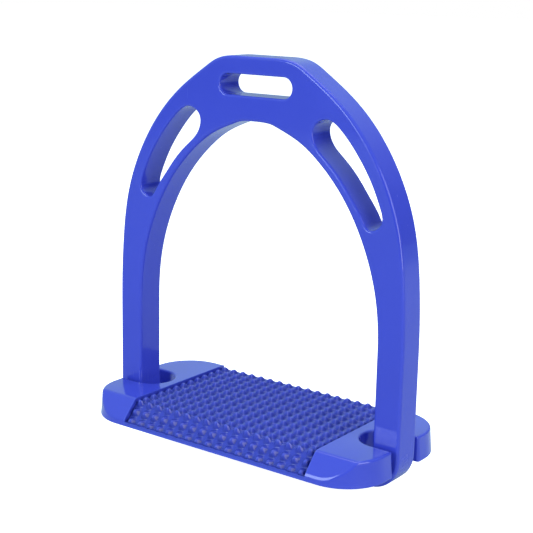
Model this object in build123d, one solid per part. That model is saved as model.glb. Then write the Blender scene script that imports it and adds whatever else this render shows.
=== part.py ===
from build123d import *
import os
from math import atan2, cos, hypot, radians, sin, tan

# Stirrup iron with a studded tread, millimetres, +Z up, the rider's toes point along -Y.
# Origin: middle of the foot bar's underside, in the middle plane of the arch, so the
# leather slot is straight above it.  Front is -Y, left is -X; mirror symmetric in X.

# ---- arch plate ----
PLATE_T = 13.2          # front face to back face
PLATE_EDGE_R = 1.2      # rounding of its long edges
SLOT_EDGE_R = 0.8       # rounding of the edges of its three slots
CROWN_Z = 164.6         # top of the flat crown
CROWN_FLAT = 10.5       # half length of the flat on the crown
ARM_OUT = 72.5          # half width over the arms
ARM_IN = 60.7           # half width between the arms
ARM_STRAIGHT_Z = 55.0   # the arms run straight up to here, then lean in
APEX_Z = 139.0          # top of the foot opening
FOOT_T = 8.5            # thickness of the foot bar, underside at z = 0
FOOT_OUT_R = 13.0       # outer bottom corner
FOOT_IN_R = 9.0         # corner between arm and foot bar

# Stations of the curved shoulders, going up: (half width, height)
OUTER = [(71.6, 79.5), (68.2, 103.5), (61.5, 121.5),
         (49.8, 139.5), (37.2, 151.6), (25.5, 159.8)]
INNER = [(58.1, 79.5), (51.8, 97.5), (40.8, 115.5),
         (29.7, 126.9), (20.8, 133.1), (10.6, 137.5)]

# ---- leather slot ----
LEATHER_HALF = 17.8     # half length
LEATHER_H = 8.4         # height
LEATHER_Z = 153.2       # centre height

# Closed outline of the lightening slot in the +X shoulder: (x, z)
SHOULDER = [(57.0, 102.7), (60.5, 106.5), (59.1, 112.2), (54.8, 121.2), (48.8, 130.2),
            (41.0, 139.0), (33.8, 142.7), (28.4, 139.3), (29.0, 133.3), (34.6, 127.2),
            (40.8, 121.2), (47.7, 112.4), (52.1, 106.1)]

# ---- tread plate ----
TREAD_Y = 1.9           # middle of the tread, behind the middle plane of the arch
TREAD_HALF_L = 71.5     # half length and half depth at the underside
TREAD_HALF_D = 34.7
TREAD_CORNER_R = 19.5
TREAD_DRAFT = 4.5       # degrees the walls lean inward
BAR_IN_GROOVE = 1.2     # height of the foot bar inside the tread's groove
TREAD_T = 10.7
TREAD_BROW_Y = -25.5    # the front long edge slopes down from here
TREAD_WALL_H = 2.9      # wall height left at the foot of the slope
TREAD_RIM_R = 1.0
GROOVE_CLEAR = 0.2      # gap between bar and groove, front and back
GROOVE_TOP_CLEAR = 0.05
GROOVE_CORNER_LESS = 0.35   # the groove's corner radius is this much under the bar's
GROOVE_RAMP = 4.0       # length of the ramp from the seat to the corner
ARM_SLOT_TIP = 51.2     # inner end of the open arm slots
ARM_SLOT_FRONT = -8.0   # y of the slot's front wall
ARM_SLOT_BACK = 11.8    # y of its back wall
ARM_SLOT_RUN = 30.0     # length of the straight cutter, past the tread's end

TREAD_UNDER_Z = FOOT_T - BAR_IN_GROOVE
TREAD_TOP_Z = TREAD_UNDER_Z + TREAD_T
SEAT_Z = FOOT_T + GROOVE_TOP_CLEAR      # roof of the groove

# ---- studs ----
STUD_HALF_L = 46.8      # half length of the studded middle
STUD_COLS = 18
STUD_FIRST_Y = -24.05   # first furrow behind the brow
STUD_LAST_Y = 35.6      # last furrow, open to the rear edge
STUD_ROWS = 12          # rows between those two
STUD_DEPTH = 1.8        # depth of the floor between the studs
STUD_TIP = 1.2          # flat tip of a stud
STUD_GAP_X = 1.7        # floor strip between two columns
STUD_GAP_Y = 0.5        # floor strip between two rows
STUD_NOTCH = 2.0        # height left plain at the foot of the front wall
BROW_MOUTH = 1.0        # half mouth of the first furrow, on the brow's side
REAR_RUN = 8.0          # the last furrow's floor runs this far, past the rear edge
SLOPE_MOUTH = 1.65      # half mouth of a furrow on the slope
# Furrows on the slope: (distance from the brow, half mouth on the brow's side)
SLOPE_FURROWS = [(3.1, 2.5), (7.6, SLOPE_MOUTH)]
COMB_H = 4.0            # height of the column cutter above the surface
FURROW_H = 2.0          # height of the row cutters above the surface

# ---- fixing: two countersunk M4 screws from below into brass inserts ----
SCREW_X = 36.0
SCREW_R = 2.0
SCREW_LEN = 12.0
SCREW_TIP_CHAMFER = 0.4
SHANK_START = 0.2       # the shank begins this far inside the head
HEAD_R = 3.75
HEAD_CONE = HEAD_R - SCREW_R    # 45 degree cone
HEAD_RIM = 0.45
HEAD_SUNK = 0.3
SINK_R = HEAD_R + 0.15
SOCKET_AF = 2.5         # across flats
SOCKET_DEPTH = 1.5
BAR_HOLE_R = 2.25
INSERT_R = 2.8
INSERT_LEN = 4.6
INSERT_HOLE_EXTRA = 1.0     # room above the insert for the screw tip
INSERT_BORE_R = 2.06
INSERT_WAIST_R = 2.45
INSERT_WAIST_H = 1.0

SIDES = (1, -1)
TOL = 1e-3              # slack for picking edges by position
OVER = 1.0              # overrun of cutters
ON_BASE = (Align.CENTER, Align.CENTER, Align.MIN)


# ---- shared helpers ----
def cylinder(x, z, radius, height, y=0):
    """Upright cylinder standing at height z."""
    return Pos(x, y, z) * Cylinder(radius, height, align=ON_BASE)


def cone(x, z, low_r, high_r, height):
    return Pos(x, 0, z) * Cone(low_r, high_r, height, align=ON_BASE)


def on_side(side, points):
    """Points given for +X, mirrored when side is -1."""
    return [(side * x, z) for x, z in points]


def corner_points(centre_x, centre_z, radius):
    """Bottom, middle and outer end of the quarter arc between bar and arm."""
    reach = radius * cos(radians(45))
    return [(centre_x, centre_z - radius),
            (centre_x + reach, centre_z - reach),
            (centre_x + radius, centre_z)]


def polygon(plane, points):
    with BuildSketch(plane) as sketch:
        with BuildLine():
            Polyline([*points, points[0]])
        make_face()
    return sketch.sketch


# ---- frame ----
def half_loop(side):
    """Face of one half of the closed loop, x from 0 to side."""
    out_low, out_mid, out_high = on_side(
        side, corner_points(ARM_OUT - FOOT_OUT_R, FOOT_OUT_R, FOOT_OUT_R))
    in_low, in_mid, in_high = on_side(
        side, corner_points(ARM_IN - FOOT_IN_R, FOOT_T + FOOT_IN_R, FOOT_IN_R))
    outer = on_side(side, [(ARM_OUT, ARM_STRAIGHT_Z), *OUTER, (CROWN_FLAT, CROWN_Z)])
    inner = on_side(side, [(ARM_IN, ARM_STRAIGHT_Z), *INNER, (0, APEX_Z)])
    tangents = [(0, 1), (-side, 0)]
    under, crown, apex, bar_top = (0, 0), (0, CROWN_Z), (0, APEX_Z), (0, FOOT_T)
    return make_face(Curve() + [
        Line(under, out_low),
        ThreePointArc(out_low, out_mid, out_high),
        Line(out_high, outer[0]),
        Spline(outer, tangents=tangents),
        Line(outer[-1], crown),
        Line(crown, apex),
        Spline(inner, tangents=tangents),
        Line(inner[0], in_high),
        ThreePointArc(in_high, in_mid, in_low),
        Line(in_low, bar_top),
        Line(bar_top, under),
    ])


def plate_slots():
    """Cutters for the round-ended leather slot and the two shoulder slots."""
    leather = Pos(0, LEATHER_Z) * SlotOverall(2 * LEATHER_HALF, LEATHER_H)
    cuts = extrude(Plane.XZ * leather, PLATE_T, both=True)
    for side in SIDES:
        outline = make_face(Spline(on_side(side, SHOULDER), periodic=True))
        cuts += extrude(Plane.XZ * outline, PLATE_T, both=True)
    return cuts


def edge_place(edge):
    centre = edge.center()
    return (round(centre.X, 3), round(centre.Y, 3), round(centre.Z, 3))


def make_frame():
    loop = half_loop(1) + half_loop(-1)
    frame = Part() + extrude(Plane.XZ * loop, PLATE_T / 2, both=True)
    long_edges = [e for e in frame.edges() if abs(e.center().Y) > PLATE_T / 2 - TOL]
    frame = fillet(long_edges, PLATE_EDGE_R)

    # only the edges that the slots add on the two faces are rounded
    before = {edge_place(e) for e in frame.edges()}
    frame = frame - plate_slots()
    slot_edges = [e for e in frame.edges()
                  if abs(abs(e.center().Y) - PLATE_T / 2) < TOL
                  and edge_place(e) not in before]
    frame = fillet(slot_edges, SLOT_EDGE_R)

    # countersunk holes through the foot bar
    sink_z = HEAD_SUNK + HEAD_RIM
    for side in SIDES:
        x = side * SCREW_X
        hole = cylinder(x, 0, BAR_HOLE_R, FOOT_T)
        sink = cone(x, sink_z, SINK_R, BAR_HOLE_R, SINK_R - BAR_HOLE_R)
        mouth = cylinder(x, 0, SINK_R, sink_z)
        frame = frame - hole - sink - mouth
    return frame


# ---- sloping front edge of the tread ----
WALL_Y = TREAD_Y - TREAD_HALF_D + TREAD_WALL_H * tan(radians(TREAD_DRAFT))
SLOPE_RUN = TREAD_BROW_Y - WALL_Y
SLOPE_DROP = TREAD_T - TREAD_WALL_H
SLOPE_LEN = hypot(SLOPE_RUN, SLOPE_DROP)
SLOPE_COS = cos(atan2(SLOPE_DROP, SLOPE_RUN))
SLOPE_SIN = sin(atan2(SLOPE_DROP, SLOPE_RUN))


def on_slope(distance, height):
    """(y, z) at a distance down the slope from the brow and a height off its face."""
    return (TREAD_BROW_Y - distance * SLOPE_COS - height * SLOPE_SIN,
            TREAD_TOP_Z - distance * SLOPE_SIN + height * SLOPE_COS)


# ---- tread ----
def tread_block():
    """Drafted plate with a rounded upper rim and the front edge sloped off."""
    plan = Pos(0, TREAD_Y, TREAD_UNDER_Z) * RectangleRounded(
        2 * TREAD_HALF_L, 2 * TREAD_HALF_D, TREAD_CORNER_R)
    block = extrude(plan, TREAD_T, taper=TREAD_DRAFT)
    rim = [e for e in block.edges() if e.center().Z > TREAD_TOP_Z - TOL]
    block = fillet(rim, TREAD_RIM_R)
    past, high = 3, 20      # overrun of the cutter along and above the slope
    wedge = polygon(Plane.YZ, [on_slope(-past, 0), on_slope(SLOPE_LEN + past, 0),
                               on_slope(SLOPE_LEN + past, high), on_slope(-past, high)])
    return block - extrude(wedge, 90, both=True)


def cut_arm_slots(tread):
    """Slots open at the tread's ends, with full round inner ends."""
    radius = (ARM_SLOT_BACK - ARM_SLOT_FRONT) / 2
    middle_y = (ARM_SLOT_BACK + ARM_SLOT_FRONT) / 2
    low_z, height = TREAD_UNDER_Z - OVER, TREAD_T + 2 * OVER
    for side in SIDES:
        round_x = side * (ARM_SLOT_TIP + radius)
        run_x = side * (ARM_SLOT_TIP + radius + ARM_SLOT_RUN / 2)
        round_end = cylinder(round_x, low_z, radius, height, y=middle_y)
        run = Pos(run_x, middle_y, low_z) * Box(
            ARM_SLOT_RUN, 2 * radius, height, align=ON_BASE)
        tread = tread - round_end - run
    return tread


def groove():
    """Cutter for the foot bar, rising with the corner between bar and arm."""
    low_z = TREAD_UNDER_Z - OVER
    corner_x = ARM_IN - FOOT_IN_R
    points = corner_points(corner_x, FOOT_T + FOOT_IN_R, FOOT_IN_R - GROOVE_CORNER_LESS)
    with BuildSketch(Plane.XZ) as profile:
        with BuildLine():
            for side in SIDES:
                bottom, middle, end = on_side(side, points)
                Polyline([(0, low_z), (end[0], low_z), end])
                ThreePointArc(end, middle, bottom)
                Polyline([bottom, (side * (corner_x - GROOVE_RAMP), SEAT_Z), (0, SEAT_Z)])
        make_face()
    return extrude(profile.sketch, PLATE_T / 2 + GROOVE_CLEAR, both=True)


# Two crossed sets of trapezoid furrows leave rows of blunt pyramids.
def column_cutters():
    """Furrows that run front to back, one set on the flat and one on the slope."""
    pitch = 2 * STUD_HALF_L / STUD_COLS
    half_floor = STUD_GAP_X / 2
    half_mouth = (pitch - STUD_TIP) / 2
    profile = []
    for i in range(STUD_COLS + 1):
        x = -STUD_HALF_L + i * pitch
        # the outermost walls are upright
        left = half_mouth if i > 0 else half_floor
        right = half_mouth if i < STUD_COLS else half_floor
        profile += [(x - left, 0), (x - half_floor, -STUD_DEPTH),
                    (x + half_floor, -STUD_DEPTH), (x + right, 0)]
    comb = [(profile[0][0], COMB_H), *profile, (profile[-1][0], COMB_H)]

    flat_y = (TREAD_BROW_Y + TREAD_Y + TREAD_HALF_D) / 2
    flat = Plane(origin=(0, flat_y, TREAD_TOP_Z), x_dir=(1, 0, 0), z_dir=(0, -1, 0))
    flat_tool = extrude(polygon(flat, comb), flat_y - TREAD_BROW_Y + 0.6, both=True)

    slope = Plane(origin=(0, *on_slope(SLOPE_LEN / 2, 0)), x_dir=(1, 0, 0),
                  z_dir=(0, -SLOPE_COS, -SLOPE_SIN))
    plain = Pos(0, 0, TREAD_UNDER_Z + STUD_NOTCH) * Box(
        200, 200, 30, align=(Align.CENTER, Align.CENTER, Align.MAX))
    slope_tool = extrude(polygon(slope, comb), SLOPE_LEN / 2 + 4, both=True) - plain
    return [flat_tool, slope_tool]


def row_cutters():
    """Furrows that run along X, those on the flat first, then those on the slope."""
    pitch = (STUD_LAST_Y - STUD_FIRST_Y) / STUD_ROWS
    half_floor = STUD_GAP_Y / 2
    half_mouth = (pitch - STUD_TIP) / 2
    floor_z, high_z = TREAD_TOP_Z - STUD_DEPTH, TREAD_TOP_Z + FURROW_H
    outlines = []
    for i in range(STUD_ROWS + 1):
        y = STUD_FIRST_Y + i * pitch
        last = i == STUD_ROWS
        front = y - (BROW_MOUTH if i == 0 else half_mouth)
        back = y + (REAR_RUN if last else half_mouth)
        floor_back = y + (REAR_RUN if last else half_floor)
        outlines.append([(y - half_floor, floor_z), (floor_back, floor_z),
                         (back, TREAD_TOP_Z), (back, high_z),
                         (front, high_z), (front, TREAD_TOP_Z)])
    for distance, upper_mouth in SLOPE_FURROWS:
        upper, lower = distance - upper_mouth, distance + SLOPE_MOUTH
        outlines.append([on_slope(distance - half_floor, -STUD_DEPTH),
                         on_slope(distance + half_floor, -STUD_DEPTH),
                         on_slope(lower, 0), on_slope(lower, FURROW_H),
                         on_slope(upper, FURROW_H), on_slope(upper, 0)])
    return [extrude(polygon(Plane.YZ, outline), STUD_HALF_L, both=True)
            for outline in outlines]


def make_tread():
    tread = cut_arm_slots(tread_block())
    tread = tread - groove()
    for side in SIDES:
        tread = tread - cylinder(side * SCREW_X, SEAT_Z, INSERT_R,
                                 INSERT_LEN + INSERT_HOLE_EXTRA)
    for cutter in column_cutters() + row_cutters():
        tread = tread - cutter
    return tread


# ---- screws and inserts ----
def make_screw(x):
    """Countersunk screw with a hexagon socket, head down."""
    body = cylinder(x, HEAD_SUNK, HEAD_R, HEAD_RIM)
    body += cone(x, HEAD_SUNK + HEAD_RIM, HEAD_R, SCREW_R, HEAD_CONE)
    shank = cylinder(x, HEAD_SUNK + SHANK_START, SCREW_R, SCREW_LEN - SHANK_START)
    tip = [e for e in shank.edges() if e.center().Z > HEAD_SUNK + SCREW_LEN - TOL]
    body += chamfer(tip, SCREW_TIP_CHAMFER)
    hexagon = RegularPolygon(SOCKET_AF / 2, 6, major_radius=False)
    return body - extrude(Pos(x, 0, HEAD_SUNK) * hexagon, SOCKET_DEPTH)


def make_insert(x):
    """Bored sleeve with a narrower waist at mid height."""
    sleeve = cylinder(x, SEAT_Z, INSERT_R, INSERT_LEN)
    waist_z = SEAT_Z + (INSERT_LEN - INSERT_WAIST_H) / 2
    ring = (cylinder(x, waist_z, INSERT_R + OVER, INSERT_WAIST_H)
            - cylinder(x, waist_z, INSERT_WAIST_R, INSERT_WAIST_H))
    sleeve = sleeve - ring
    return sleeve - cylinder(x, SEAT_Z - OVER, INSERT_BORE_R, INSERT_LEN + 2 * OVER)


parts = {
    "frame": make_frame(),
    "tread": make_tread(),
    "tread_screw_left": make_screw(-SCREW_X),
    "tread_screw_right": make_screw(SCREW_X),
    "threaded_insert_left": make_insert(-SCREW_X),
    "threaded_insert_right": make_insert(SCREW_X),
}

os.makedirs("parts", exist_ok=True)
for name, shape in parts.items():
    solids = shape.solids()
    if len(solids) != 1:
        raise SystemExit(f"{name}: {len(solids)} solids")
    export_step(solids[0], f"parts/{name}.step")
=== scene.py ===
import math

import bmesh
import bpy
from mathutils import Matrix, Vector
from mathutils.geometry import delaunay_2d_cdt


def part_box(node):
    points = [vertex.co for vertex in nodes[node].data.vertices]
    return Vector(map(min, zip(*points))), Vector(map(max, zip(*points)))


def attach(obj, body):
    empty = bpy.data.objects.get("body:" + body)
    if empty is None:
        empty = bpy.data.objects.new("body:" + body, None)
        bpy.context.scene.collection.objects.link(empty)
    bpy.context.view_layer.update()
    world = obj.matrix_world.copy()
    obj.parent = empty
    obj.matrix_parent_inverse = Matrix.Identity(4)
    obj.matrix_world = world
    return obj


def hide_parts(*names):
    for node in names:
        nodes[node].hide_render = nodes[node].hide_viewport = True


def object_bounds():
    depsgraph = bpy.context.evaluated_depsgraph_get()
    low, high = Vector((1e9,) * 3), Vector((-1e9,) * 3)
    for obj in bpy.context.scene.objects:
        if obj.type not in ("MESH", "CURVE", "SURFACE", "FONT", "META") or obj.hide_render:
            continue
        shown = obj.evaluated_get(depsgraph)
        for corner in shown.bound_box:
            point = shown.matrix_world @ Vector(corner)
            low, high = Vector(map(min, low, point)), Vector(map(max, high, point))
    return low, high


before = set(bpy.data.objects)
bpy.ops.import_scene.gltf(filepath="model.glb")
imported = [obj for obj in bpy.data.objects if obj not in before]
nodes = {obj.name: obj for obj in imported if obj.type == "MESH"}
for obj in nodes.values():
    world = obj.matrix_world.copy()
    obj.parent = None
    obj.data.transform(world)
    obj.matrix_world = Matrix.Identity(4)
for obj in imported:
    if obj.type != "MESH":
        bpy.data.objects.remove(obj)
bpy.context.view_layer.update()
MM = 0.001


# --------------------------------------------------------------------------
# shader helpers
# --------------------------------------------------------------------------
def feed(tree, socket, value):
    """Links a socket into an input, or sets the input to a plain value."""
    if isinstance(value, bpy.types.NodeSocket):
        tree.links.new(value, socket)
    elif socket.type == "RGBA":
        socket.default_value = (*value, 1.0)
    else:
        socket.default_value = value


def add_node(tree, kind, inputs=None, **settings):
    made = tree.nodes.new("ShaderNode" + kind)
    for key, value in settings.items():
        setattr(made, key, value)
    for key, value in (inputs or {}).items():
        feed(tree, made.inputs[key], value)
    return made


def new_material(name):
    material = bpy.data.materials.new(name)
    material.use_nodes = True
    tree = material.node_tree
    tree.nodes.clear()
    output = add_node(tree, "OutputMaterial")
    shader = add_node(tree, "BsdfPrincipled")
    tree.links.new(shader.outputs[0], output.inputs[0])
    return material, tree, shader


def object_coords(tree):
    return add_node(tree, "TexCoord").outputs["Object"]


def noise(tree, coord, scale, detail=4.0, roughness=0.55):
    return add_node(tree, "TexNoise", {
        "Scale": scale, "Detail": detail, "Roughness": roughness, "Vector": coord,
    }).outputs[0]


def ramp(tree, factor, stops):
    """Colour ramp; a stop is (position, colour)."""
    made = add_node(tree, "ValToRGB", {0: factor})
    elements = made.color_ramp.elements
    while len(elements) < len(stops):
        elements.new(0.5)
    for element, (position, colour) in zip(elements, stops):
        element.position = position
        element.color = (*colour, 1.0)
    return made.outputs[0]


def mix(tree, factor, first, second):
    made = add_node(tree, "Mix", {0: factor, 6: first, 7: second}, data_type="RGBA")
    return made.outputs[2]


def calculate(tree, operation, *values, clamp=False):
    made = add_node(tree, "Math", dict(enumerate(values)), operation=operation, use_clamp=clamp)
    return made.outputs[0]


def grey(value):
    return (value,) * 3


def scaled(colour, factor):
    return tuple(c * factor for c in colour)


# --------------------------------------------------------------------------
# materials
# --------------------------------------------------------------------------
def worn_and_highlit_edges(tree, coord, edge_wear_and_highlight):
    """Mask of the sharp edges, broken up by a fine noise, for paler edges that are part rubbed
    wear and part painted edge highlight.
    """
    geometry = add_node(tree, "NewGeometry")
    bevel = add_node(tree, "Bevel", {"Radius": 0.0013}, samples=4)
    facing = add_node(tree, "VectorMath",
                      {0: bevel.outputs[0], 1: geometry.outputs["Normal"]},
                      operation="DOT_PRODUCT").outputs["Value"]
    fine = noise(tree, coord, scale=620.0, detail=6.0, roughness=0.7)
    # the gain on the mask runs from 2.5 up, with the noise
    gain = calculate(tree, "MULTIPLY_ADD", fine, 5.0, 2.5)
    turned_away = calculate(tree, "SUBTRACT", 1.0, facing)
    edge = calculate(tree, "MULTIPLY_ADD", turned_away, gain, 0.0, clamp=True)
    return calculate(tree, "MULTIPLY", edge, edge_wear_and_highlight, clamp=True)


def gloss_blue(name, base, roughness, coat, peel, edge_wear_and_highlight, furrow_shade=0.0):
    """Coated blue: slow colour drift, orange peel, hairline rub marks and paler edges, part
    rubbed wear and part painted edge highlight.

    peel is the strength of the orange peel, edge_wear_and_highlight that of the paler edges,
    which are rubbed wear and a painted edge highlight, and furrow_shade that of the painted
    shade in the furrows.
    """
    material, tree, shader = new_material(name)
    coord = object_coords(tree)
    drift = noise(tree, coord, scale=16.0, detail=3.0)
    tone = ramp(tree, drift, [(0.25, scaled(base, 0.95)), (0.75, scaled(base, 1.05))])
    # painted highlight: the sharp edges are mixed towards a paler blue, part rubbed wear and part
    # a painted edge highlight
    pale_wear_and_highlight = (base[0] + 0.05, base[1] + 0.09, min(1.0, base[2] * 1.15 + 0.12))
    colour = mix(tree, worn_and_highlit_edges(tree, coord, edge_wear_and_highlight), tone, pale_wear_and_highlight)
    coat_weight = coat
    if furrow_shade:
        # painted shade: ambient occlusion darkens the furrows and takes away their coat, which
        # also dims their reflection
        openness = add_node(tree, "AmbientOcclusion", {"Distance": 0.0040},
                            samples=6).outputs["AO"]
        furrow_shade_mask = ramp(tree, openness, [(0.45, grey(furrow_shade)), (0.97, grey(0))])
        colour = mix(tree, furrow_shade_mask, colour, scaled(base, 0.20))
        coat_weight = calculate(tree, "MULTIPLY_ADD", openness, coat * 2.2, -1.25 * coat,
                                clamp=True)

    # hairlines are the thin peaks of a stretched noise
    stretched = add_node(tree, "Mapping", {
        "Scale": (1.0, 1.0, 0.06), "Rotation": (0.25, 0.5, 0.2), 0: coord,
    }).outputs[0]
    rub = noise(tree, stretched, scale=900.0, detail=3.0, roughness=0.6)
    patches = noise(tree, coord, scale=45.0, detail=4.0, roughness=0.6)
    haze = ramp(tree, patches, [(0.35, grey(roughness * 0.85)), (0.70, grey(roughness * 1.25))])
    hairlines = ramp(tree, rub, [(0.70, grey(0)), (0.78, grey(1))])
    peel_height = noise(tree, coord, scale=260.0, detail=2.0, roughness=0.5)
    peel_bump = add_node(tree, "Bump", {
        "Strength": peel, "Distance": 0.00006, "Height": peel_height,
    }).outputs[0]
    scratched = add_node(tree, "Bump", {
        "Strength": 0.12, "Distance": 0.00002, "Height": hairlines, "Normal": peel_bump,
    }, invert=True).outputs[0]

    shader.inputs["Coat Weight"].default_value = coat
    for socket, value in {
        "Base Color": colour,
        "Roughness": mix(tree, hairlines, haze, grey(roughness * 1.9)),
        "Specular IOR Level": 0.22,
        "Coat Weight": coat_weight,
        "Coat Roughness": 0.035,
        "Normal": scratched,
        "Coat Normal": peel_bump,
    }.items():
        feed(tree, shader.inputs[socket], value)
    return material


def turned_metal(name, base, roughness, squeeze=6.0):
    """Metal with a fine noise squeezed along Z."""
    material, tree, shader = new_material(name)
    mapping = add_node(tree, "Mapping", {"Scale": (1.0, 1.0, squeeze), 0: object_coords(tree)})
    grain = noise(tree, mapping.outputs[0], scale=700.0, detail=6.0, roughness=0.7)
    tone = ramp(tree, grain, [(0.3, scaled(base, 0.82)), (0.7, base)])
    polish = ramp(tree, grain, [(0.3, grey(roughness * 0.8)), (0.75, grey(roughness * 1.4))])
    bump = add_node(tree, "Bump", {"Strength": 0.35, "Distance": 0.00003, "Height": grain})
    for socket, value in {
        "Base Color": tone, "Roughness": polish, "Metallic": 1.0, "Normal": bump.outputs[0],
    }.items():
        feed(tree, shader.inputs[socket], value)
    return material


def floor_white():
    """Near-white to the camera, and a dimmer blue-grey without glow to every other ray."""
    material, tree, shader = new_material("floor_white")
    drift = noise(tree, object_coords(tree), scale=3.0, detail=2.0)
    white = ramp(tree, drift, [(0.3, (0.84, 0.84, 0.85)), (0.7, (0.86, 0.86, 0.865))])
    seen = add_node(tree, "LightPath").outputs["Is Camera Ray"]
    for socket, value in {
        "Base Color": mix(tree, seen, (0.46, 0.52, 0.58), white),
        "Roughness": 0.9,
        "Specular IOR Level": 0.0,
        "Emission Color": (1.0, 1.0, 1.0),
        "Emission Strength": calculate(tree, "MULTIPLY", seen, 0.85),
    }.items():
        feed(tree, shader.inputs[socket], value)
    return material


BLUE = (0.050, 0.070, 0.575)
mat_frame = gloss_blue("frame_blue_gloss", BLUE, roughness=0.22, coat=0.75, peel=0.10, edge_wear_and_highlight=0.6)
mat_tread = gloss_blue("tread_blue_gloss", BLUE, roughness=0.20, coat=1.0, peel=0.08, edge_wear_and_highlight=0.45)
# painted shade: the studs take the tread's blue darkened to 0.86, and get painted shade in their
# furrows
mat_studs = gloss_blue("stud_blue_gloss", scaled(BLUE, 0.86), roughness=0.20, coat=0.85,
                       peel=0.08, edge_wear_and_highlight=0.45, furrow_shade=0.9)
mat_screw = turned_metal("screw_stainless", (0.62, 0.62, 0.63), roughness=0.32)
mat_brass = turned_metal("insert_brass", (0.72, 0.50, 0.20), roughness=0.30)


def paint(ob, material):
    mesh = ob.data
    if len(mesh.materials) == 0:
        mesh.materials.append(material)
    for i in range(len(mesh.materials)):
        mesh.materials[i] = material
    for slot in ob.material_slots:
        slot.material = material


paint(nodes["frame"], mat_frame)


# --------------------------------------------------------------------------
# mesh helpers, millimetres in, metres out
# --------------------------------------------------------------------------
def box_mm(node):
    """Lower and upper corner of a CAD piece."""
    return [Vector(corner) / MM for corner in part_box(node)]


def smooth(mesh, sharp_deg):
    """Smooth shading, but for the edges sharper than an angle."""
    mesh.polygons.foreach_set("use_smooth", [True] * len(mesh.polygons))
    mesh.set_sharp_from_angle(angle=math.radians(sharp_deg))


def link_object(name, data):
    ob = bpy.data.objects.new(name, data)
    bpy.context.collection.objects.link(ob)
    return ob


def mesh_object(name, verts, faces, sharp_deg=38.0):
    mesh = bpy.data.meshes.new(name)
    mesh.from_pydata([(x * MM, y * MM, z * MM) for x, y, z in verts], [], faces)
    mesh.validate()
    bm = bmesh.new()
    bm.from_mesh(mesh)
    bmesh.ops.recalc_face_normals(bm, faces=bm.faces)
    bm.to_mesh(mesh)
    bm.free()
    smooth(mesh, sharp_deg)
    return link_object(name, mesh)


def carve(ob, cutters):
    """Cuts closed meshes out of ob and keeps the result as its mesh."""
    for cutter in cutters:
        cut = ob.modifiers.new("cut", "BOOLEAN")
        cut.operation = "DIFFERENCE"
        cut.solver = "EXACT"
        cut.object = cutter
    graph = bpy.context.evaluated_depsgraph_get()
    graph.update()
    mesh = bpy.data.meshes.new_from_object(ob.evaluated_get(graph))
    ob.modifiers.clear()
    ob.data = mesh
    for cutter in cutters:
        bpy.data.objects.remove(cutter, do_unlink=True)
    smooth(mesh, 38.0)


def lathe(cx, cy, rings, segments, joined=False):
    """Body of rings round a vertical axis.

    A ring is (radius or function of the angle, z). The end rings are capped, or joined
    to each other to make a tube.
    """
    verts = []
    for radius, z in rings:
        for k in range(segments):
            angle = 2 * math.pi * k / segments
            r = radius(angle) if callable(radius) else radius
            verts.append((cx + r * math.cos(angle), cy + r * math.sin(angle), z))
    count = len(rings)
    faces = []
    for i in range(count if joined else count - 1):
        low = i * segments
        high = (i + 1) % count * segments
        for k in range(segments):
            k2 = (k + 1) % segments
            faces.append((low + k, low + k2, high + k2, high + k))
    if not joined:
        faces.append(tuple(range(segments)))
        faces.append(tuple(reversed(range((count - 1) * segments, count * segments))))
    return verts, faces


def register(ob, material, rides, replaces):
    paint(ob, material)
    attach(ob, rides)
    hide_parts(replaces)


# --------------------------------------------------------------------------
# tread dimensions
# --------------------------------------------------------------------------
tread_low, tread_high = box_mm("tread")
MID_Y = (tread_low.y + tread_high.y) / 2
HALF_LENGTH = (tread_high.x - tread_low.x) / 2
HALF_DEPTH = (tread_high.y - tread_low.y) / 2
BOTTOM, TOP = tread_low.z, tread_high.z
FRONT, BACK = MID_Y - HALF_DEPTH, MID_Y + HALF_DEPTH
CORNER = 19.5                             # radius of the corners in plan
DRAFT = math.tan(math.radians(4.5))       # inward lean of the outer walls
RIM = 1.0                                 # rounding of the upper rim
RIM_STEPS = 7
RIM_LAND = 0.35                           # from the rounding to the last ring
FOOT = 0.5                                # rounding of the lower rim
FOOT_STEPS = 4

# notch open at each end of the tread
NOTCH_FRONT, NOTCH_BACK = -8.0, 11.8
NOTCH_TIP = 51.2                          # x of its innermost point
MOUTH = 1.4                               # rounding where it opens

# slope along the front
BROW_Y = -25.5                            # it starts here
BROW = 1.0                                # half width of the rounded brow
WALL = 2.9                                # height of the wall left below it
WALL_Y = FRONT + WALL * DRAFT
RUN, FALL = BROW_Y - WALL_Y, TOP - BOTTOM - WALL
SLOPE = math.hypot(RUN, FALL)
DROP = FALL / RUN

# bed under the studded middle
FIELD = 46.8                              # half length of the middle
SEAM = 0.01                               # length of the step down from the smooth ends
SMOOTH_EDGE = FIELD + 1.2                 # outline point just beyond the middle
BED_IN = 1.0                              # from the outline to the bed
KNEE_FRONT, KNEE_BACK = -23.5, BACK - 2.6
BED, BED_LOW, LEDGE = TOP - 2.4, BOTTOM + 0.95, BOTTOM + 0.8


def top_z(y):
    """Height of the smooth ends: flat, a rounded brow, then the slope in front."""
    ahead = BROW_Y - y
    if ahead <= -BROW:
        return TOP
    if ahead <= BROW:
        return TOP - DROP * (ahead + BROW) ** 2 / (4 * BROW)
    return TOP - DROP * ahead


def bed_z(y):
    """Height of the bed the studded top lies in."""
    if y < KNEE_FRONT:
        return BED - (KNEE_FRONT - y) * (BED - BED_LOW) / (KNEE_FRONT - FRONT - BED_IN)
    if y > KNEE_BACK:
        return BED - (y - KNEE_BACK) * (BED - BED_LOW) / (BACK - BED_IN - KNEE_BACK)
    return BED


def surface_z(x, y):
    return bed_z(y) if abs(x) < FIELD - SEAM / 2 else top_z(y)


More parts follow.
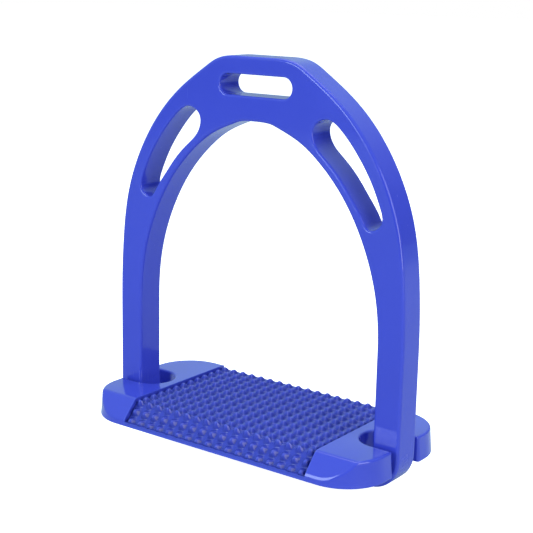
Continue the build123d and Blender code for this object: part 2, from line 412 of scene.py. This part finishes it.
# --------------------------------------------------------------------------
# tread body: rounded rims all round, and a bed for the studded top
# --------------------------------------------------------------------------
def arc(cx, cy, radius, start, end, steps, kind="end", outward=1.0):
    """Outline points on an arc, angles in degrees; outward is -1 for a hollow arc."""
    points = []
    for k in range(steps + 1):
        angle = math.radians(start + (end - start) * k / steps)
        c, s = math.cos(angle), math.sin(angle)
        points.append((cx + radius * c, cy + radius * s, outward * c, outward * s, kind))
    return points


def line(start, end, steps, nx, ny, kind="end"):
    """Outline points strictly between two places."""
    (x0, y0), (x1, y1) = start, end
    return [(x0 + (x1 - x0) * k / steps, y0 + (y1 - y0) * k / steps, nx, ny, kind)
            for k in range(1, steps)]


def half_outline():
    """Outline of the +X half, front middle to back middle: x, y, outward normal, kind."""
    bed_x = [FIELD * k / 16 for k in range(16)] + [FIELD - SEAM]
    notch_r = (NOTCH_BACK - NOTCH_FRONT) / 2
    notch_x, notch_y = NOTCH_TIP + notch_r, (NOTCH_BACK + NOTCH_FRONT) / 2
    corner_x = HALF_LENGTH - CORNER
    mouth_x = HALF_LENGTH - MOUTH
    mouth_front, mouth_back = NOTCH_FRONT - MOUTH, NOTCH_BACK + MOUTH
    return [
        *[(x, FRONT, 0.0, -1.0, "bed") for x in bed_x],
        *[(x, FRONT, 0.0, -1.0, "end") for x in (FIELD, SMOOTH_EDGE)],
        *arc(corner_x, FRONT + CORNER, CORNER, -90, 0, 36),
        *line((HALF_LENGTH, FRONT + CORNER), (HALF_LENGTH, mouth_front), 3, 1, 0),
        *arc(mouth_x, mouth_front, MOUTH, 0, 90, 8, "mouth"),
        *line((mouth_x, NOTCH_FRONT), (notch_x, NOTCH_FRONT), 5, 0, 1, "notch"),
        *arc(notch_x, notch_y, notch_r, -90, -270, 36, "notch", outward=-1.0),
        *line((notch_x, NOTCH_BACK), (mouth_x, NOTCH_BACK), 5, 0, -1, "notch"),
        *arc(mouth_x, mouth_back, MOUTH, -90, 0, 8, "mouth"),
        *line((HALF_LENGTH, mouth_back), (HALF_LENGTH, BACK - CORNER), 2, 1, 0),
        *arc(corner_x, BACK - CORNER, CORNER, 0, 90, 36),
        *[(x, BACK, 0.0, 1.0, "end") for x in (SMOOTH_EDGE, FIELD)],
        *[(x, BACK, 0.0, 1.0, "bed") for x in reversed(bed_x)],
    ]


def wall_profile(x, y, nx, ny, kind):
    """Points of the wall at one place of the outline, from the underside up."""
    # the notch walls stand straight, and its mouth leans along X only
    lean_x, lean_y = {"notch": (0.0, 0.0), "mouth": (nx, 0.0)}.get(kind, (nx, ny))

    def at(inset, z, lean_z):
        lean = DRAFT * (lean_z - BOTTOM)
        return (x - inset * nx - lean * lean_x, y - inset * ny - lean * lean_y, z)

    points = []
    for k in range(FOOT_STEPS + 1):
        angle = math.radians(90 * k / FOOT_STEPS)
        z = BOTTOM + FOOT * (1 - math.cos(angle))
        points.append(at(FOOT * (1 - math.sin(angle)), z, BOTTOM))
    low = BOTTOM + FOOT + 0.2
    points.append(at(0.0, low, low))
    if kind == "bed":
        points.append(at(0.0, LEDGE, LEDGE))
        points.append(at(BED_IN, LEDGE, BOTTOM))
        for k in range(RIM_STEPS + 1):
            inset = BED_IN + 0.5 * k / RIM_STEPS
            points.append(at(inset, bed_z(y - inset * ny), BOTTOM))
        return points

    # rough height of the wall where the rim sits, the front being lower than the back
    wall_height = 8.0 if y > MID_Y else 2.0
    rim_z = max(top_z(y - DRAFT * wall_height * lean_y) - RIM, low + 0.3)
    points.append(at(0.0, rim_z - 0.15, rim_z))
    for k in range(RIM_STEPS + 1):
        angle = math.radians(90 * k / RIM_STEPS)
        px, py, _ = at(RIM * (1 - math.cos(angle)), 0.0, rim_z)
        points.append((px, py, top_z(py) - RIM * (1 - math.sin(angle))))
    px, py, _ = at(RIM + RIM_LAND, 0.0, rim_z)
    points.append((px, py, top_z(py)))
    return points


def fill(verts, faces, loop_ids, extra, lines, height, flip):
    """Fills a loop of existing points, with inner points and constraint lines between them."""
    points = [Vector(verts[i][:2]) for i in loop_ids] + [Vector(p) for p in extra]
    count = len(loop_ids)
    places, _, polygons, sources, _, _ = delaunay_2d_cdt(
        points, lines, [list(range(count))], 1, 1e-7)
    ids = []
    for place, source in zip(places, sources):
        if source and source[0] < count:
            ids.append(loop_ids[source[0]])
        else:
            verts.append((place.x, place.y, height(place.x, place.y)))
            ids.append(len(verts) - 1)
    for polygon in polygons:
        face = [ids[i] for i in polygon]
        faces.append(tuple(reversed(face)) if flip else tuple(face))


def top_constraints(outline):
    """Inner points of the top and the crease lines that join them."""
    plan = [point[:2] for point in outline]
    count = len(plan)
    brows = [BROW_Y + BROW * t for t in (-1.0, -0.5, 0.0, 0.5, 1.0)]
    extra, lines = [], []

    def add(x, y):
        extra.append((x, y))
        return count + len(extra) - 1

    def find(x, y):
        return count + extra.index((x, y))

    for side in (1, -1):
        # front to back along both edges of the seam
        for x, inner_y in ((FIELD, brows), (FIELD - SEAM, [KNEE_FRONT, KNEE_BACK])):
            chain = [plan.index((side * x, FRONT))]
            chain += [add(side * x, y) for y in inner_y]
            chain.append(plan.index((side * x, BACK)))
            lines += list(zip(chain[:-1], chain[1:]))
        # brow lines on the smooth ends, stopping just short of the rim
        for y in brows:
            into_corner = min(y - FRONT - CORNER, 0.0)
            inner_r = CORNER - RIM - RIM_LAND - 1.15
            reach = (HALF_LENGTH - CORNER
                     + math.sqrt(max(inner_r ** 2 - into_corner ** 2, 0.0)))
            previous = find(side * FIELD, y)
            for t in (0.25, 0.5, 0.75, 1.0):
                current = add(side * (FIELD + (reach - FIELD) * t), y)
                lines.append((previous, current))
                previous = current
    for y in (KNEE_FRONT, KNEE_BACK):
        lines.append((find(FIELD - SEAM, y), find(-(FIELD - SEAM), y)))
    return extra, lines


def tread_body():
    right = half_outline()
    left = [(-x, y, -nx, ny, kind) for x, y, nx, ny, kind in reversed(right[1:-1])]
    outline = right + left
    count = len(outline)
    profiles = [wall_profile(*point) for point in outline]
    ring_count = len(profiles[0])
    verts = [profile[k] for k in range(ring_count) for profile in profiles]
    faces = []
    for k in range(ring_count - 1):
        low, high = k * count, (k + 1) * count
        for j in range(count):
            j2 = (j + 1) % count
            faces.append((low + j, low + j2, high + j2, high + j))
    last = (ring_count - 1) * count
    extra, lines = top_constraints(outline)
    fill(verts, faces, list(range(last, last + count)), extra, lines, surface_z, flip=False)
    fill(verts, faces, list(range(count)), [], [], lambda x, y: BOTTOM, flip=True)
    return mesh_object("tread_body", verts, faces)


# groove for the foot bar and the two blind seats of the inserts, cut into the underside
frame_low, frame_high = box_mm("frame")
GROOVE_HALF = (frame_high.y - frame_low.y) / 2 + 0.2
BEND_X, BEND_Z, BEND_R = 51.7, 17.5, 8.65     # rounded upper ends of the groove
insert_low, insert_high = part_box("threaded_insert_right")
SEAT_X = (insert_low[0] + insert_high[0]) / 2 / MM
SEAT_R = (insert_high[0] - insert_low[0]) / 2 / MM
SEAT_Z = insert_low[2] / MM


def groove_cutter():
    half = [(0.0, BOTTOM - 1.0), (BEND_X + BEND_R, BOTTOM - 1.0), (BEND_X + BEND_R, BEND_Z)]
    for k in range(1, 13):
        angle = math.radians(-90.0 * k / 12)
        half.append((BEND_X + BEND_R * math.cos(angle), BEND_Z + BEND_R * math.sin(angle)))
    half += [(BEND_X - 4.0, SEAT_Z), (0.0, SEAT_Z)]
    profile = half + [(-x, z) for x, z in reversed(half[1:-1])]
    n = len(profile)
    verts = [(x, y, z) for y in (-GROOVE_HALF, GROOVE_HALF) for x, z in profile]
    faces = [tuple(range(n)), tuple(reversed(range(n, 2 * n)))]
    faces += [(k, (k + 1) % n, n + (k + 1) % n, n + k) for k in range(n)]
    return mesh_object("groove_cutter", verts, faces)


def seat_cutter(x):
    rings = [(SEAT_R, SEAT_Z - 0.6), (SEAT_R, SEAT_Z + 5.0), (SEAT_R - 0.4, SEAT_Z + 5.6)]
    return mesh_object("seat_cutter", *lathe(x, 0.0, rings, segments=48))


body = tread_body()
carve(body, [groove_cutter(), seat_cutter(SEAT_X), seat_cutter(-SEAT_X)])
register(body, mat_tread, rides="tread", replaces="tread")


# --------------------------------------------------------------------------
# studded top: rounded pyramids in straight columns and rows, over the flat top
# and down the slope
# --------------------------------------------------------------------------
COLUMNS, ROWS = 18, 12                    # rows on the flat top
FIRST_Y, LAST_Y = -24.05, 35.6            # front and back of those rows
COLUMN_PITCH = 2 * FIELD / COLUMNS
ROW_PITCH = (LAST_Y - FIRST_Y) / ROWS
STUD_DEPTH = 1.85
SQUARENESS = 3.2                          # exponent that squares the studs in plan
EASE = 0.10                               # rounding at tip and furrow, part of the flank
SLOPE_COS, SLOPE_SIN = RUN / SLOPE, FALL / SLOPE
# distances ahead of the brow: middle of the row at the brow, the furrow below it,
# and the pitch of the rows further down
BROW_ROW = 0.10
FIRST_FURROW = 3.1
SLOPE_PITCH = 4.5
LOWEST_Z = BOTTOM + 2.0                   # the furrows on the slope go no lower
COLUMN_STEPS, TOP_STEPS, SLOPE_STEPS = 13, 160, 40
SEARCH_STEPS = 160                        # steps to find where the slope meets the wall


def stud_height(across, along):
    """Height below the tips in a cell, whose places run from 0 in the middle to 1 at the edge."""
    ex = max((abs(across) - 0.17) / 0.50, 0.0)
    ey = max((abs(along) - 0.16) / 0.76, 0.0)
    t = (ex ** SQUARENESS + ey ** SQUARENESS) ** (1 / SQUARENESS)
    if t < EASE:
        fall = (t + EASE) ** 2 / (4 * EASE)
    elif t < 1 - EASE:
        fall = t
    elif t < 1 + EASE:
        fall = 1.0 - (1 + EASE - t) ** 2 / (4 * EASE)
    else:
        fall = 1.0
    return -STUD_DEPTH * fall


def row_place(v):
    """Place in its row, -1 to 1, at distance v behind the brow; the slope is negative."""
    if v > FIRST_Y - BROW_Y:
        row = (v - FIRST_Y + BROW_Y) / ROW_PITCH
        return 1.0 if row >= ROWS else 2 * (row - math.floor(row)) - 1
    if v > -BROW_ROW:
        return (v + BROW_ROW) / (FIRST_Y - BROW_Y + BROW_ROW)
    if v > -FIRST_FURROW:
        return (-BROW_ROW - v) / (FIRST_FURROW - BROW_ROW)
    half = SLOPE_PITCH / 2
    row = 0 if v > -(FIRST_FURROW + SLOPE_PITCH) else 1
    return (-(FIRST_FURROW + half + row * SLOPE_PITCH) - v) / half


def stud_point(x, v):
    """y and z of the studded surface at distance v behind the brow along its section."""
    column = (x + FIELD) / COLUMN_PITCH
    across = 1.0 if column >= COLUMNS else 2 * (column - math.floor(column)) - 1
    height = stud_height(across, row_place(v))
    if v >= 0:
        base_y, base_z = BROW_Y + v, TOP
    else:
        base_y, base_z = BROW_Y + v * SLOPE_COS, TOP + v * SLOPE_SIN
    # the studs turn smoothly from upright to square with the slope around the brow
    t = min(max(-v / 1.6 * 0.5 + 0.5, 0.0), 1.0)
    t = t * t * (3 - 2 * t)
    ny, nz = SLOPE_SIN * t, 1 - (1 - SLOPE_COS) * t
    length = math.hypot(ny, nz)
    return base_y - ny / length * height, base_z + nz / length * height


def wall_y(z):
    """The leaning front wall."""
    return FRONT + DRAFT * (z - BOTTOM)


def slope_end(x):
    """Distance behind the brow, and height, where the studs meet the front wall."""
    before = None
    for k in range(1, SEARCH_STEPS + 1):
        v = -(SLOPE + 3.0) * k / SEARCH_STEPS
        y, z = stud_point(x, v)
        gap = wall_y(z) - y
        if gap >= 0:
            gap0, v0, z0 = before
            t = gap0 / (gap0 - gap)
            return v0 + (v - v0) * t, z0 + (z - z0) * t
        before = (gap, v, z)


def stud_section(x):
    """Closed section of the studded top: up the slope, back, and round underneath."""
    end_v, end_z = slope_end(x)
    front_z = max(end_z, LOWEST_Z)
    section = [(wall_y(front_z), front_z)]
    for k in range(SLOPE_STEPS - 1, 0, -1):
        y, z = stud_point(x, end_v * k / SLOPE_STEPS)
        section.append((y, max(z, LOWEST_Z)))
    rear_y = BACK - DRAFT * (TOP - STUD_DEPTH - BOTTOM)
    for k in range(TOP_STEPS + 1):
        section.append(stud_point(x, (rear_y - BROW_Y) * k / TOP_STEPS))
    back_z = section[-1][1]
    for k in range(1, 4):
        z = back_z + (LEDGE - back_z) * k / 3
        section.append((BACK - DRAFT * (z - BOTTOM), z))
    section += [(BACK - BED_IN, LEDGE), (BACK - BED_IN, BED_LOW), (KNEE_BACK, BED),
                (KNEE_FRONT, BED), (FRONT + BED_IN, BED_LOW), (FRONT + BED_IN, LEDGE)]
    for k in range(3):
        z = LEDGE + (front_z - LEDGE) * k / 3
        section.append((wall_y(z), z))
    return section


def tread_studs():
    stations = [-FIELD + COLUMN_PITCH * (column + k / COLUMN_STEPS)
                for column in range(COLUMNS) for k in range(COLUMN_STEPS)]
    stations.append(FIELD)
    verts = [(x, y, z) for x in stations for y, z in stud_section(x)]
    count = len(verts) // len(stations)
    last = (len(stations) - 1) * count
    faces = []
    for low in range(0, last, count):
        high = low + count
        for k in range(count):
            k2 = (k + 1) % count
            faces.append((low + k, high + k, high + k2, low + k2))
    faces.append(tuple(range(count)))
    faces.append(tuple(reversed(range(last, last + count))))
    return mesh_object("tread_studs", verts, faces, sharp_deg=45.0)


register(tread_studs(), mat_studs, rides="tread", replaces="tread")


# --------------------------------------------------------------------------
# screws with a rolled thread and a hex socket, and knurled brass inserts
# --------------------------------------------------------------------------
THREAD_PITCH = 0.7
SHANK_R = 1.97
SOCKET_R = 1.25                           # half the width across the flats
THREAD_START = 3.3                        # height above the underside of the head
KNURL_TEETH, KNURL_DEPTH = 30, 0.17
INSERT_NECK_R = 2.45                      # plain neck between the knurled bands
INSERT_MOUTH_R, INSERT_BORE_R = 2.32, 2.2


def triangle_wave(t):
    """0 at whole numbers, 1 halfway between."""
    t = t - math.floor(t)
    return 1 - abs(2 * t - 1)


def thread_phase(z, angle):
    return z / THREAD_PITCH - angle / (2 * math.pi)


def hexagon(scale):
    def radius(angle):
        return scale * SOCKET_R / math.cos((angle % (math.pi / 3)) - math.pi / 6)
    return radius


def screw_thread(z, low, high):
    """Ring radius of the thread: it grows out of the shank and tapers at the tip."""
    def radius(angle):
        r = 1.62 + 0.36 * min(triangle_wave(thread_phase(z, angle)) * 1.25, 1.0)
        r = min(r, SHANK_R - max(0.0, z - (high - 0.5)) * 0.8)
        fade = min(max((z - low - THREAD_START) / 0.5, 0.0), 1.0)
        return r * fade + SHANK_R * (1 - fade)
    return radius


def screw(side):
    node = "tread_screw_" + side
    corner_low, corner_high = box_mm(node)
    head = (corner_high.x - corner_low.x) / 2
    low, high = corner_low.z, corner_high.z
    # radius, height above the underside: out of the socket, round the head, up the shank
    profile = [
        (0.02, 1.75), (0.45, 1.68), (hexagon(0.96), 1.5), (hexagon(1.0), 1.42),
        (hexagon(1.0), 0.25), (hexagon(1.03), 0.12), (hexagon(1.10), 0.0), (1.62, 0.0),
        (head - 0.55, 0.0), (head - 0.22, 0.03), (head - 0.06, 0.12), (head, 0.25),
        (head, 0.42), (head - 0.08, 0.55), (2.35, 1.86), (2.12, 2.12), (1.98, 2.4),
        (SHANK_R, 3.2),
    ]
    rings = [(radius, low + z) for radius, z in profile]
    z = low + THREAD_START
    while z < high - 0.03:
        rings.append((screw_thread(z, low, high), z))
        z += THREAD_PITCH / 9
    rings += [(1.55, high - 0.02), (1.35, high), (0.02, high)]
    cx, cy = (corner_low.x + corner_high.x) / 2, (corner_low.y + corner_high.y) / 2
    ob = mesh_object(node + "_threaded", *lathe(cx, cy, rings, segments=48), sharp_deg=33.0)
    register(ob, mat_screw, rides=node, replaces=node)


def insert_thread(z):
    return lambda angle: 2.07 + 0.22 * triangle_wave(thread_phase(z, angle))


def insert(side):
    node = "threaded_insert_" + side
    corner_low, corner_high = box_mm(node)
    outer = (corner_high.x - corner_low.x) / 2
    low, high = corner_low.z, corner_high.z
    height = high - low

    def knurl(depth):
        return lambda angle: outer - KNURL_DEPTH * depth * triangle_wave(
            angle * KNURL_TEETH / (2 * math.pi))

    def band(start):
        """Full-depth rings of one knurled band."""
        return [(knurl(1.0), start + (height * 0.37 - 0.45) * k / 5) for k in range(1, 6)]

    # up the outside, then down the threaded bore
    rings = [
        (outer - 0.30, low), (outer - 0.12, low + 0.08), (outer - 0.05, low + 0.2),
        (knurl(0.3), low + 0.3), (knurl(1.0), low + 0.45),
        *band(low + 0.45),
        (knurl(0.3), low + height * 0.39), (INSERT_NECK_R, low + height * 0.41),
        (INSERT_NECK_R, low + height * 0.59), (knurl(0.3), low + height * 0.61),
        *band(low + height * 0.63),
        (knurl(0.3), high - 0.3), (outer - 0.12, high - 0.08), (outer - 0.30, high),
        (INSERT_MOUTH_R, high), (INSERT_BORE_R, high - 0.12),
    ]
    z = high - 0.2
    while z > low + 0.25:
        rings.append((insert_thread(z), z))
        z -= THREAD_PITCH / 8
    rings += [(INSERT_BORE_R, low + 0.12), (INSERT_MOUTH_R, low)]
    cx, cy = (corner_low.x + corner_high.x) / 2, (corner_low.y + corner_high.y) / 2
    tube = lathe(cx, cy, rings, segments=120, joined=True)
    ob = mesh_object(node + "_knurled", *tube, sharp_deg=33.0)
    register(ob, mat_brass, rides="tread", replaces=node)


for side in ("left", "right"):
    screw(side)
    insert(side)


# --------------------------------------------------------------------------
# floor, world, lights, camera, in metres
# --------------------------------------------------------------------------
FLOOR_HALF = 6.0
SCREW_TRAVEL = 0.0132      # the floor lies this far down, so a drawn screw isn't buried in it


def add_floor():
    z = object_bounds()[0][2] - SCREW_TRAVEL
    mesh = bpy.data.meshes.new("floor")
    corners = [(-1, -1), (1, -1), (1, 1), (-1, 1)]
    mesh.from_pydata([(x * FLOOR_HALF, y * FLOOR_HALF, z) for x, y in corners],
                     [], [(0, 1, 2, 3)])
    floor = link_object("floor", mesh)
    mesh.materials.append(floor_white())


def add_world():
    """White to the camera; a blue sky, brighter upward and towards -X, lights the pieces."""
    world = bpy.data.worlds.new("studio")
    bpy.context.scene.world = world
    world.use_nodes = True
    tree = world.node_tree
    tree.nodes.clear()
    direction = add_node(tree, "TexCoord").outputs["Generated"]
    axes = add_node(tree, "SeparateXYZ", {0: direction}).outputs
    brightness = calculate(tree, "MULTIPLY_ADD", axes[0], -0.45, axes[2])
    sky = ramp(tree, brightness, [
        (0.0, (0.10, 0.14, 0.22)), (0.25, (0.28, 0.38, 0.58)), (0.55, (0.56, 0.80, 0.98)),
    ])
    lighting = add_node(tree, "Background", {"Color": sky, "Strength": 0.75})
    backdrop = add_node(tree, "Background", {"Color": (1.0, 1.0, 1.0), "Strength": 1.0})
    seen = add_node(tree, "LightPath").outputs["Is Camera Ray"]
    mixed = add_node(tree, "MixShader",
                     {0: seen, 1: lighting.outputs[0], 2: backdrop.outputs[0]})
    add_node(tree, "OutputWorld", {0: mixed.outputs[0]})


def area_light(name, place, size, power, target_z=0.07, tint=(1.0, 1.0, 1.0)):
    """Square light aimed at a point on the Z axis."""
    light = bpy.data.lights.new(name, "AREA")
    light.energy = power
    light.size = size
    light.color = tint
    ob = link_object(name, light)
    ob.location = place
    aim = Vector((0, 0, target_z)) - Vector(place)
    ob.rotation_euler = aim.to_track_quat("-Z", "Y").to_euler()
    return ob


def add_camera():
    camera = bpy.data.cameras.new("photo_camera")
    camera.sensor_width = 36.0
    camera.sensor_fit = "HORIZONTAL"
    camera.lens = 83.2284
    camera.clip_start = 0.01
    camera.clip_end = 50.0
    ob = link_object("photo_camera", camera)
    # the camera's own axes and its place, in world coordinates
    right = (0.8037200, 0.5946687, 0.0200772)
    up = (-0.1517636, 0.1722542, 0.9732910)
    backward = (0.5753274, -0.7853012, 0.2286929)
    place = (0.29414, -0.3977, 0.19516)
    rows = [*zip(right, up, backward, place), (0.0, 0.0, 0.0, 1.0)]
    ob.matrix_world = Matrix(rows)
    bpy.context.scene.camera = ob


add_floor()
add_world()
area_light("key_front", (-0.38, -1.05, 0.40), size=0.55, power=5.4, tint=(0.72, 0.86, 1.0))
area_light("fill_right", (1.05, -0.30, 0.40), size=0.8, power=6.8)
area_light("top", (-0.1, 0.1, 1.15), size=0.9, power=4.6, target_z=0.05)
back_light = area_light("back", (0.10, 1.05, 0.50), size=0.7, power=4.0)
back_light.visible_glossy = False
bpy.context.scene.view_settings.view_transform = "Standard"
add_camera()
